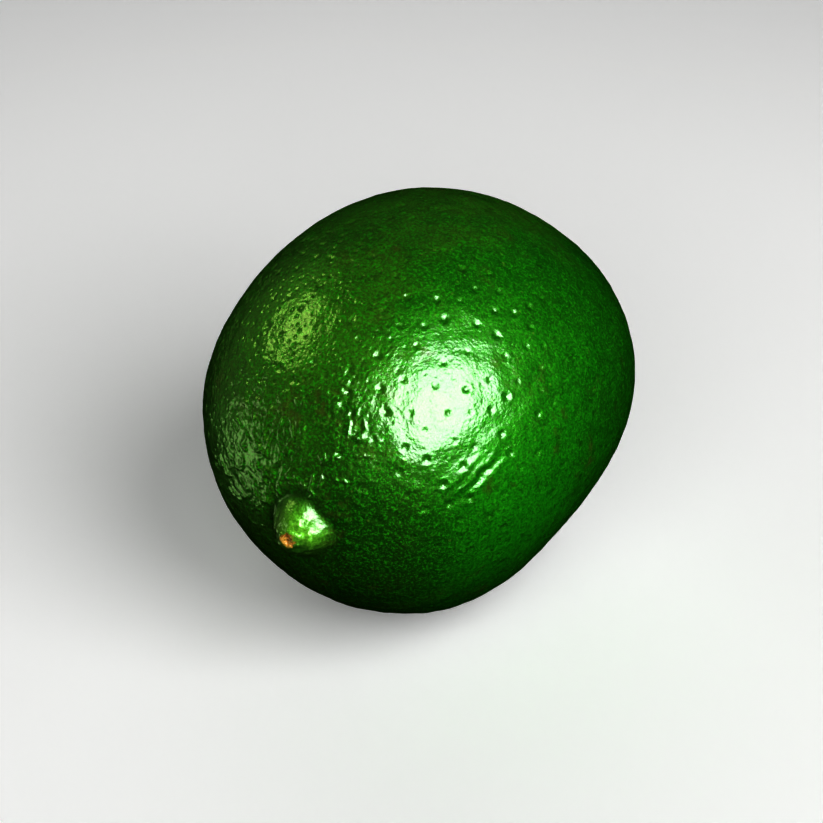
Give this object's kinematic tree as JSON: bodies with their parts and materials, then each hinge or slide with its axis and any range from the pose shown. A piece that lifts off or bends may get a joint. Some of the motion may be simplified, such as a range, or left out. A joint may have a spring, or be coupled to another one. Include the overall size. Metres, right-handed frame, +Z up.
{
  "type": "lime",
  "caption": "Whole oval lime lying on its side: glossy pitted green peel, a blunt nipple with a brown style scar at one end, a stem button at the other, and a small flat spot to rest on.",
  "frame": {"origin": "centre of the fruit's box, at the height of the flat spot it rests on", "axes": "+Z up; the fruit's own axis lies along Y, with the nipple towards -Y and the stem end towards +Y"},
  "size_m": [0.055, 0.069, 0.0543],
  "materials": {
    "lime_peel": null
  },
  "bodies": {
    "root": {"lime": "lime_peel"}
  },
  "joints": []
}
